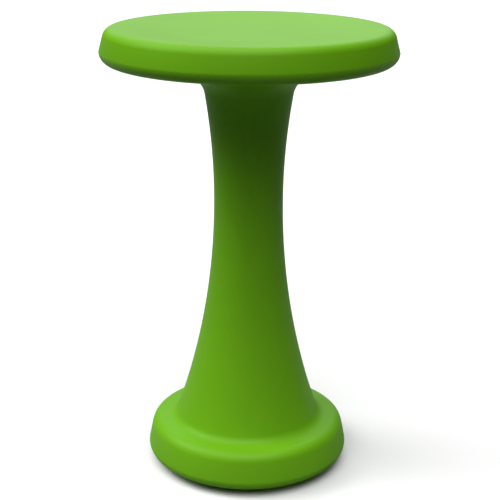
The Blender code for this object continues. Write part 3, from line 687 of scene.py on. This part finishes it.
def grip_rubber():
    """Matt black rubber with a fine pebble grain and a little dust."""
    material = bpy.data.materials.new("grip_rubber")
    material.use_nodes = True
    nodes, links = material.node_tree.nodes, material.node_tree.links
    shader = nodes["Principled BSDF"]
    shader.inputs["IOR"].default_value = RUBBER_IOR
    place = nodes.new("ShaderNodeTexCoord")
    dust = nodes.new("ShaderNodeTexNoise")
    dust.inputs["Scale"].default_value = 35
    dust.inputs["Detail"].default_value = 8
    links.new(place.outputs["Object"], dust.inputs["Vector"])
    dust_range = nodes.new("ShaderNodeMapRange")
    dust_range.inputs["From Min"].default_value = 0.5
    dust_range.inputs["From Max"].default_value = 0.8
    links.new(dust.outputs["Fac"], dust_range.inputs["Value"])
    tint = nodes.new("ShaderNodeMix")
    tint.data_type = "RGBA"
    tint.inputs["A"].default_value = (*RUBBER, 1)
    tint.inputs["B"].default_value = (*RUBBER_DUST, 1)
    links.new(dust_range.outputs["Result"], tint.inputs["Factor"])
    links.new(tint.outputs["Result"], shader.inputs["Base Color"])
    rough = nodes.new("ShaderNodeMapRange")
    rough.inputs["To Min"].default_value, rough.inputs["To Max"].default_value = RUBBER_ROUGHNESS
    links.new(dust.outputs["Fac"], rough.inputs["Value"])
    links.new(rough.outputs["Result"], shader.inputs["Roughness"])
    pebbles = nodes.new("ShaderNodeTexVoronoi")
    pebbles.inputs["Scale"].default_value = 700
    links.new(place.outputs["Object"], pebbles.inputs["Vector"])
    bump = nodes.new("ShaderNodeBump")
    bump.inputs["Strength"].default_value = PEBBLE_STRENGTH
    bump.inputs["Distance"].default_value = PEBBLE_DEPTH
    links.new(pebbles.outputs["Distance"], bump.inputs["Height"])
    links.new(bump.outputs["Normal"], shader.inputs["Normal"])
    return material


grip_sole = turned("rubber_sole", grip_sole_outline(), even_columns(ROUND_COLUMNS))
grip_sole.data.materials.append(grip_rubber())
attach(grip_sole, "root")
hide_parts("grip_sole")

# Bolt ring
# A flat ring of zinc-plated steel with its edges broken, hidden in the neck. It lies under the leg's
# flange and spreads the load of the seat bolts.

RING_RADII = (0.016, 0.036)
RING_THICKNESS = 0.002
RING_CHAMFER = 0.0003
RING_TOP = FLANGE_BOTTOM - GAP
RING_BOTTOM = RING_TOP - RING_THICKNESS
ZINC = (0.60, 0.61, 0.62)
ZINC_DULL = (0.42, 0.43, 0.45)
ZINC_ROUGHNESS = 0.34
TARNISH_ROUGHER = 0.12
TARNISH_SMOOTHER = 0.08
GRAIN_STRENGTH = 0.15
GRAIN_DEPTH = 0.0001


def bolt_ring_outline():
    """A flat ring with all four edges broken."""
    inner, outer = RING_RADII
    outline = [(inner + RING_CHAMFER, RING_TOP), (outer - RING_CHAMFER, RING_TOP)]
    outline += [(outer, RING_TOP - RING_CHAMFER), (outer, RING_BOTTOM + RING_CHAMFER)]
    outline += [(outer - RING_CHAMFER, RING_BOTTOM), (inner + RING_CHAMFER, RING_BOTTOM)]
    outline += [(inner, RING_BOTTOM + RING_CHAMFER), (inner, RING_TOP - RING_CHAMFER)]
    return outline


def turned_metal(name, bright, dull, roughness):
    """Plated or turned metal with cloudy tarnish and a fine grain."""
    material = bpy.data.materials.new(name)
    material.use_nodes = True
    nodes, links = material.node_tree.nodes, material.node_tree.links
    shader = nodes["Principled BSDF"]
    shader.inputs["Metallic"].default_value = 1.0
    place = nodes.new("ShaderNodeTexCoord")
    clouds = nodes.new("ShaderNodeTexNoise")
    clouds.inputs["Scale"].default_value = 260
    clouds.inputs["Detail"].default_value = 5
    links.new(place.outputs["Object"], clouds.inputs["Vector"])
    tint = nodes.new("ShaderNodeMix")
    tint.data_type = "RGBA"
    tint.inputs["A"].default_value = (*dull, 1)
    tint.inputs["B"].default_value = (*bright, 1)
    links.new(clouds.outputs["Fac"], tint.inputs["Factor"])
    links.new(tint.outputs["Result"], shader.inputs["Base Color"])
    rough = nodes.new("ShaderNodeMapRange")
    rough.inputs["To Min"].default_value = roughness + TARNISH_ROUGHER
    rough.inputs["To Max"].default_value = roughness - TARNISH_SMOOTHER
    links.new(clouds.outputs["Fac"], rough.inputs["Value"])
    links.new(rough.outputs["Result"], shader.inputs["Roughness"])
    grain = nodes.new("ShaderNodeTexNoise")
    grain.inputs["Scale"].default_value = 2400
    links.new(place.outputs["Object"], grain.inputs["Vector"])
    bump = nodes.new("ShaderNodeBump")
    bump.inputs["Strength"].default_value = GRAIN_STRENGTH
    bump.inputs["Distance"].default_value = GRAIN_DEPTH
    links.new(grain.outputs["Fac"], bump.inputs["Height"])
    links.new(bump.outputs["Normal"], shader.inputs["Normal"])
    return material


ZINC_STEEL = turned_metal("zinc_steel", ZINC, ZINC_DULL, ZINC_ROUGHNESS)
bolt_ring = turned("spreader_ring", bolt_ring_outline(), even_columns(ROUND_COLUMNS))
bolt_ring.data.materials.append(ZINC_STEEL)
combine(bolt_ring, "DIFFERENCE", rods(bolt_places, BOLT_HOLE_RADIUS, RING_BOTTOM - WALL, RING_TOP + WALL))
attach(bolt_ring, "root")
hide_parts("bolt_ring")

# Seat bolts
# Zinc-plated bolts with socket heads, driven up through the ring, the flange and the pan. Their upper half
# is threaded for the brass inserts in the seat.

BOLT_RADIUS = 0.0027
BOLT_LENGTH = 0.024
BOLT_SHANK = 0.010
BOLT_HEAD_RADIUS = 0.0055
BOLT_HEAD_HEIGHT = 0.0045
BOLT_CHAMFER = 0.0005
HEX_SOCKET_RADIUS = 0.0023
HEX_SOCKET_DEPTH = 0.0025
HEX_SIDES = 6
BOLT_SEAT_Z = RING_BOTTOM - GAP
BOLT_TIP_Z = BOLT_SEAT_Z + BOLT_LENGTH
BOLT_HEAD_Z = BOLT_SEAT_Z - BOLT_HEAD_HEIGHT
BOLT_THREAD = {
    "radius": BOLT_RADIUS, "bottom": BOLT_SEAT_Z + BOLT_SHANK, "top": BOLT_TIP_Z - BOLT_CHAMFER,
    "pitch": 0.001, "depth": 0.0005,
}
THREAD_ROWS = 6
FASTENER_COLUMNS = 36


def thread_points(thread):
    """Points from top to bottom of a threaded length, close enough to draw the thread."""
    length = thread["top"] - thread["bottom"]
    rows = round(THREAD_ROWS * length / thread["pitch"])
    return [(thread["radius"], thread["top"] - length * i / rows) for i in range(rows + 1)]


def seat_bolt_outline():
    """From the tip down the thread and the plain shank to the head."""
    outline = [(0, BOLT_TIP_Z), (BOLT_RADIUS - BOLT_CHAMFER, BOLT_TIP_Z)] + thread_points(BOLT_THREAD)
    outline += [(BOLT_RADIUS, BOLT_SEAT_Z), (BOLT_HEAD_RADIUS, BOLT_SEAT_Z)]
    outline += [(BOLT_HEAD_RADIUS, BOLT_HEAD_Z + BOLT_CHAMFER)]
    outline += [(BOLT_HEAD_RADIUS - BOLT_CHAMFER, BOLT_HEAD_Z), (0, BOLT_HEAD_Z)]
    return outline


def fit_fasteners(pattern, places, piece_name, node):
    """A copy of one fastener at each place, standing for its own node."""
    for number, place in enumerate(places, 1):
        fastener = bpy.data.objects.new(f"{piece_name}_{number}", pattern.data.copy())
        bpy.context.scene.collection.objects.link(fastener)
        fastener.location = place
        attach(fastener, "root")
        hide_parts(f"{node}_{number}")
    bpy.data.objects.remove(pattern, do_unlink=True)


seat_bolt = turned("bolt_pattern", seat_bolt_outline(), even_columns(FASTENER_COLUMNS), thread=BOLT_THREAD)
seat_bolt.data.materials.append(ZINC_STEEL)
bolt_socket_top = BOLT_HEAD_Z + HEX_SOCKET_DEPTH
bolt_socket = rods([Vector()], HEX_SOCKET_RADIUS, BOLT_HEAD_Z - WALL, bolt_socket_top, HEX_SIDES)
combine(seat_bolt, "DIFFERENCE", bolt_socket)
fit_fasteners(seat_bolt, bolt_places, "socket_bolt", "seat_bolt")

# Thread inserts
# Turned brass sleeves with two knurled bands and a waisted middle, pressed into the seat's bosses. The
# bolts screw into them.

INSERT_BORE = 0.0030
INSERT_CHAMFER = 0.0004
INSERT_BOTTOM = HUB_BOTTOM + GAP
INSERT_TOP = INSERT_BOTTOM + INSERT_LENGTH
INSERT_THREAD = {
    "radius": INSERT_BORE, "bottom": INSERT_BOTTOM + INSERT_CHAMFER, "top": INSERT_TOP - INSERT_CHAMFER,
    "pitch": 0.001, "depth": -0.0004,
}
KNURL_RIDGES = 28
KNURL_DEPTH = 0.00015
BRASS = (0.72, 0.50, 0.19)
BRASS_DULL = (0.48, 0.32, 0.11)
BRASS_ROUGHNESS = 0.32


def knurl_columns():
    """Even columns, with every other one sunk to cut straight knurls."""
    columns = even_columns(2 * KNURL_RIDGES)
    return [(angle, shift, -KNURL_DEPTH * (i % 2)) for i, (angle, shift, _) in enumerate(columns)]


def thread_insert_outline():
    """The sleeve's outline, and which of its points lie on the knurled bands."""
    band = INSERT_LENGTH / 3
    waist_r = INSERT_RADIUS - INSERT_CHAMFER
    outline = [(INSERT_BORE + INSERT_CHAMFER, INSERT_TOP), (waist_r, INSERT_TOP)]
    outline += [(INSERT_RADIUS, INSERT_TOP - INSERT_CHAMFER), (INSERT_RADIUS, INSERT_TOP - band)]
    outline += [(waist_r, INSERT_TOP - band - INSERT_CHAMFER)]
    outline += [(waist_r, INSERT_BOTTOM + band + INSERT_CHAMFER)]
    outline += [(INSERT_RADIUS, INSERT_BOTTOM + band), (INSERT_RADIUS, INSERT_BOTTOM + INSERT_CHAMFER)]
    outline += [(waist_r, INSERT_BOTTOM), (INSERT_BORE + INSERT_CHAMFER, INSERT_BOTTOM)]
    outline += thread_points(INSERT_THREAD)[::-1]
    return outline, [i for i, (r, _) in enumerate(outline) if r == INSERT_RADIUS]


insert_outline, insert_bands = thread_insert_outline()
thread_insert = turned("insert_pattern", insert_outline, knurl_columns(), insert_bands, INSERT_THREAD)
thread_insert.data.materials.append(turned_metal("plain_brass", BRASS, BRASS_DULL, BRASS_ROUGHNESS))
fit_fasteners(thread_insert, bolt_places, "knurled_sleeve", "thread_insert")

# Base screws
# Zinc-plated screws with round heads and a coarse thread for plastic. They are sunk in the rocker base and
# driven up into the bosses inside the foot.

SCREW_RADIUS = 0.0019
SCREW_LENGTH = 0.021
SCREW_SHANK = 0.004
SCREW_HEAD_RADIUS = 0.0044
SCREW_HEAD_HEIGHT = 0.003
SCREW_HEAD_ROUND = 0.0011
SCREW_HEAD_POINTS = 8
SCREW_SEAT_Z = COUNTERBORE_TOP - GAP
SCREW_TIP_Z = SCREW_SEAT_Z + SCREW_LENGTH
SCREW_HEAD_Z = SCREW_SEAT_Z - SCREW_HEAD_HEIGHT
SCREW_THREAD = {
    "radius": SCREW_RADIUS, "bottom": SCREW_SEAT_Z + SCREW_SHANK, "top": SCREW_TIP_Z - SCREW_RADIUS,
    "pitch": 0.0016, "depth": 0.0005,
}


def base_screw_outline():
    """From the point down the thread and the plain shank to the rounded head."""
    head_centre = (SCREW_HEAD_RADIUS - SCREW_HEAD_ROUND, SCREW_HEAD_Z + SCREW_HEAD_ROUND)
    outline = [(0, SCREW_TIP_Z)] + thread_points(SCREW_THREAD)
    outline += [(SCREW_RADIUS, SCREW_SEAT_Z), (SCREW_HEAD_RADIUS, SCREW_SEAT_Z)]
    outline += arc(head_centre, SCREW_HEAD_ROUND, 0, -90, SCREW_HEAD_POINTS)
    outline += [(0, SCREW_HEAD_Z)]
    return outline


screw_columns = even_columns(FASTENER_COLUMNS)
base_screw = turned("screw_pattern", base_screw_outline(), screw_columns, thread=SCREW_THREAD)
base_screw.data.materials.append(ZINC_STEEL)
screw_socket_top = SCREW_HEAD_Z + SCREW_HEAD_HEIGHT / 2
screw_socket = rods([Vector()], HEX_SOCKET_RADIUS, SCREW_HEAD_Z - WALL, screw_socket_top, HEX_SIDES)
combine(base_screw, "DIFFERENCE", screw_socket)
fit_fasteners(base_screw, screw_places, "round_screw", "base_screw")

# Floor and light
# A plain white floor that runs out of the picture, and a dark studio with three soft boxes: a large one
# high over the camera, one at the left and one behind the stool.

FLOOR_HALF = 12.0
FLOOR_WHITE = (0.97, 0.97, 0.97)
BOUNCE_NEAR = 0.22
BOUNCE_FAR = 0.008
BOUNCE_NEAR_REACH = 0.25
BOUNCE_FAR_REACH = 0.9
LAMP_WHITE = (1.0, 1.0, 1.0)
SOFT_BOXES = {
    "overhead": {"azimuth": 266, "elevation": 67, "full": 13, "edge": 41, "strength": 3.85},
    "left": {"azimuth": 174, "elevation": 45, "full": 0, "edge": 28, "strength": 7.8},
    "behind": {"azimuth": 86, "elevation": 35, "full": 0, "edge": 49, "strength": 1.43},
}


def studio_floor():
    """White to the eye and in reflections, and darker to bounced light, so the stool keeps its shading.
    The bounce is strongest near the stool and fades out away from it."""
    material = bpy.data.materials.new("studio_floor")
    material.use_nodes = True
    nodes, links = material.node_tree.nodes, material.node_tree.links
    shader = nodes["Principled BSDF"]
    shader.inputs["Roughness"].default_value = 1.0
    shader.inputs["Specular IOR Level"].default_value = 0.0
    path = nodes.new("ShaderNodeLightPath")
    seen = nodes.new("ShaderNodeMath")
    seen.operation = "MAXIMUM"
    links.new(path.outputs["Is Camera Ray"], seen.inputs[0])
    links.new(path.outputs["Is Glossy Ray"], seen.inputs[1])
    through = nodes.new("ShaderNodeMath")
    through.operation = "MAXIMUM"
    links.new(seen.outputs["Value"], through.inputs[0])
    links.new(path.outputs["Is Transmission Ray"], through.inputs[1])
    tint = nodes.new("ShaderNodeMix")
    tint.data_type = "RGBA"
    place = nodes.new("ShaderNodeTexCoord")
    reach = nodes.new("ShaderNodeVectorMath")
    reach.operation = "LENGTH"
    links.new(place.outputs["Object"], reach.inputs[0])
    bounce = nodes.new("ShaderNodeMapRange")
    bounce.interpolation_type = "SMOOTHSTEP"
    bounce.inputs["From Min"].default_value = BOUNCE_NEAR_REACH
    bounce.inputs["From Max"].default_value = BOUNCE_FAR_REACH
    bounce.inputs["To Min"].default_value = BOUNCE_NEAR
    bounce.inputs["To Max"].default_value = BOUNCE_FAR
    links.new(reach.outputs["Value"], bounce.inputs["Value"])
    links.new(bounce.outputs["Result"], tint.inputs["A"])
    tint.inputs["B"].default_value = (*FLOOR_WHITE, 1)
    links.new(through.outputs["Value"], tint.inputs["Factor"])
    links.new(tint.outputs["Result"], shader.inputs["Base Color"])
    return material


def soft_box(nodes, links, direction, box):
    """Light from one soft box: full within an angle of its middle, and fading out towards its edge."""
    turn, rise = math.radians(box["azimuth"]), math.radians(box["elevation"])
    across = nodes.new("ShaderNodeVectorMath")
    across.operation = "DOT_PRODUCT"
    across.inputs[1].default_value = (
        math.cos(rise) * math.cos(turn), math.cos(rise) * math.sin(turn), math.sin(rise)
    )
    links.new(direction, across.inputs[0])
    angle = nodes.new("ShaderNodeMath")
    angle.operation = "ARCCOSINE"
    links.new(across.outputs["Value"], angle.inputs[0])
    glow = nodes.new("ShaderNodeMapRange")
    glow.interpolation_type = "SMOOTHSTEP"
    glow.inputs["From Min"].default_value = math.radians(box["edge"])
    glow.inputs["From Max"].default_value = math.radians(box["full"])
    glow.inputs["To Max"].default_value = box["strength"]
    links.new(angle.outputs["Value"], glow.inputs["Value"])
    light = nodes.new("ShaderNodeBackground")
    light.inputs["Color"].default_value = (*LAMP_WHITE, 1)
    links.new(glow.outputs["Result"], light.inputs["Strength"])
    return light.outputs["Background"]


def studio_world():
    """A dark room lit by the soft boxes."""
    world = bpy.data.worlds.new("studio")
    world.use_nodes = True
    nodes, links = world.node_tree.nodes, world.node_tree.links
    direction = nodes.new("ShaderNodeTexCoord").outputs["Generated"]
    room = nodes["Background"]
    room.inputs["Strength"].default_value = 0.0
    total = room.outputs["Background"]
    for box in SOFT_BOXES.values():
        both = nodes.new("ShaderNodeAddShader")
        links.new(total, both.inputs[0])
        links.new(soft_box(nodes, links, direction, box), both.inputs[1])
        total = both.outputs["Shader"]
    links.new(total, nodes["World Output"].inputs["Surface"])
    return world


floor_mesh = bpy.data.meshes.new("floor")
floor_form = bmesh.new()
bmesh.ops.create_grid(floor_form, x_segments=1, y_segments=1, size=FLOOR_HALF)
floor_form.to_mesh(floor_mesh)
floor_form.free()
floor = bpy.data.objects.new("floor", floor_mesh)
bpy.context.scene.collection.objects.link(floor)
floor.data.materials.append(studio_floor())

bpy.context.scene.world = studio_world()

# Camera
# It stands in front of the stool at the photograph's height, with the same small tilt of the frame.

CAMERA_PLACE = Vector((0.0, -1.25455, 0.66011))
CAMERA_PITCH = math.radians(18.063)
CAMERA_YAW = math.radians(0.0907)
CAMERA_ROLL = math.radians(0.364)
FOCAL_PIXELS = 1172.487
PHOTO_PIXELS = 500
SENSOR = 36.0

ahead = Vector((
    math.sin(CAMERA_YAW) * math.cos(CAMERA_PITCH),
    math.cos(CAMERA_YAW) * math.cos(CAMERA_PITCH),
    -math.sin(CAMERA_PITCH),
))
level_right = Vector((math.cos(CAMERA_YAW), -math.sin(CAMERA_YAW), 0))
level_up = level_right.cross(ahead)
right = math.cos(CAMERA_ROLL) * level_right + math.sin(CAMERA_ROLL) * level_up
up = -math.sin(CAMERA_ROLL) * level_right + math.cos(CAMERA_ROLL) * level_up
camera_lens = bpy.data.cameras.new("camera")
camera_lens.sensor_width = SENSOR
camera_lens.lens = SENSOR * FOCAL_PIXELS / PHOTO_PIXELS
camera = bpy.data.objects.new("camera", camera_lens)
bpy.context.scene.collection.objects.link(camera)
camera.matrix_world = Matrix.Translation(CAMERA_PLACE) @ Matrix((right, up, -ahead)).transposed().to_4x4()
bpy.context.scene.camera = camera
bpy.context.scene.view_settings.view_transform = "Standard"
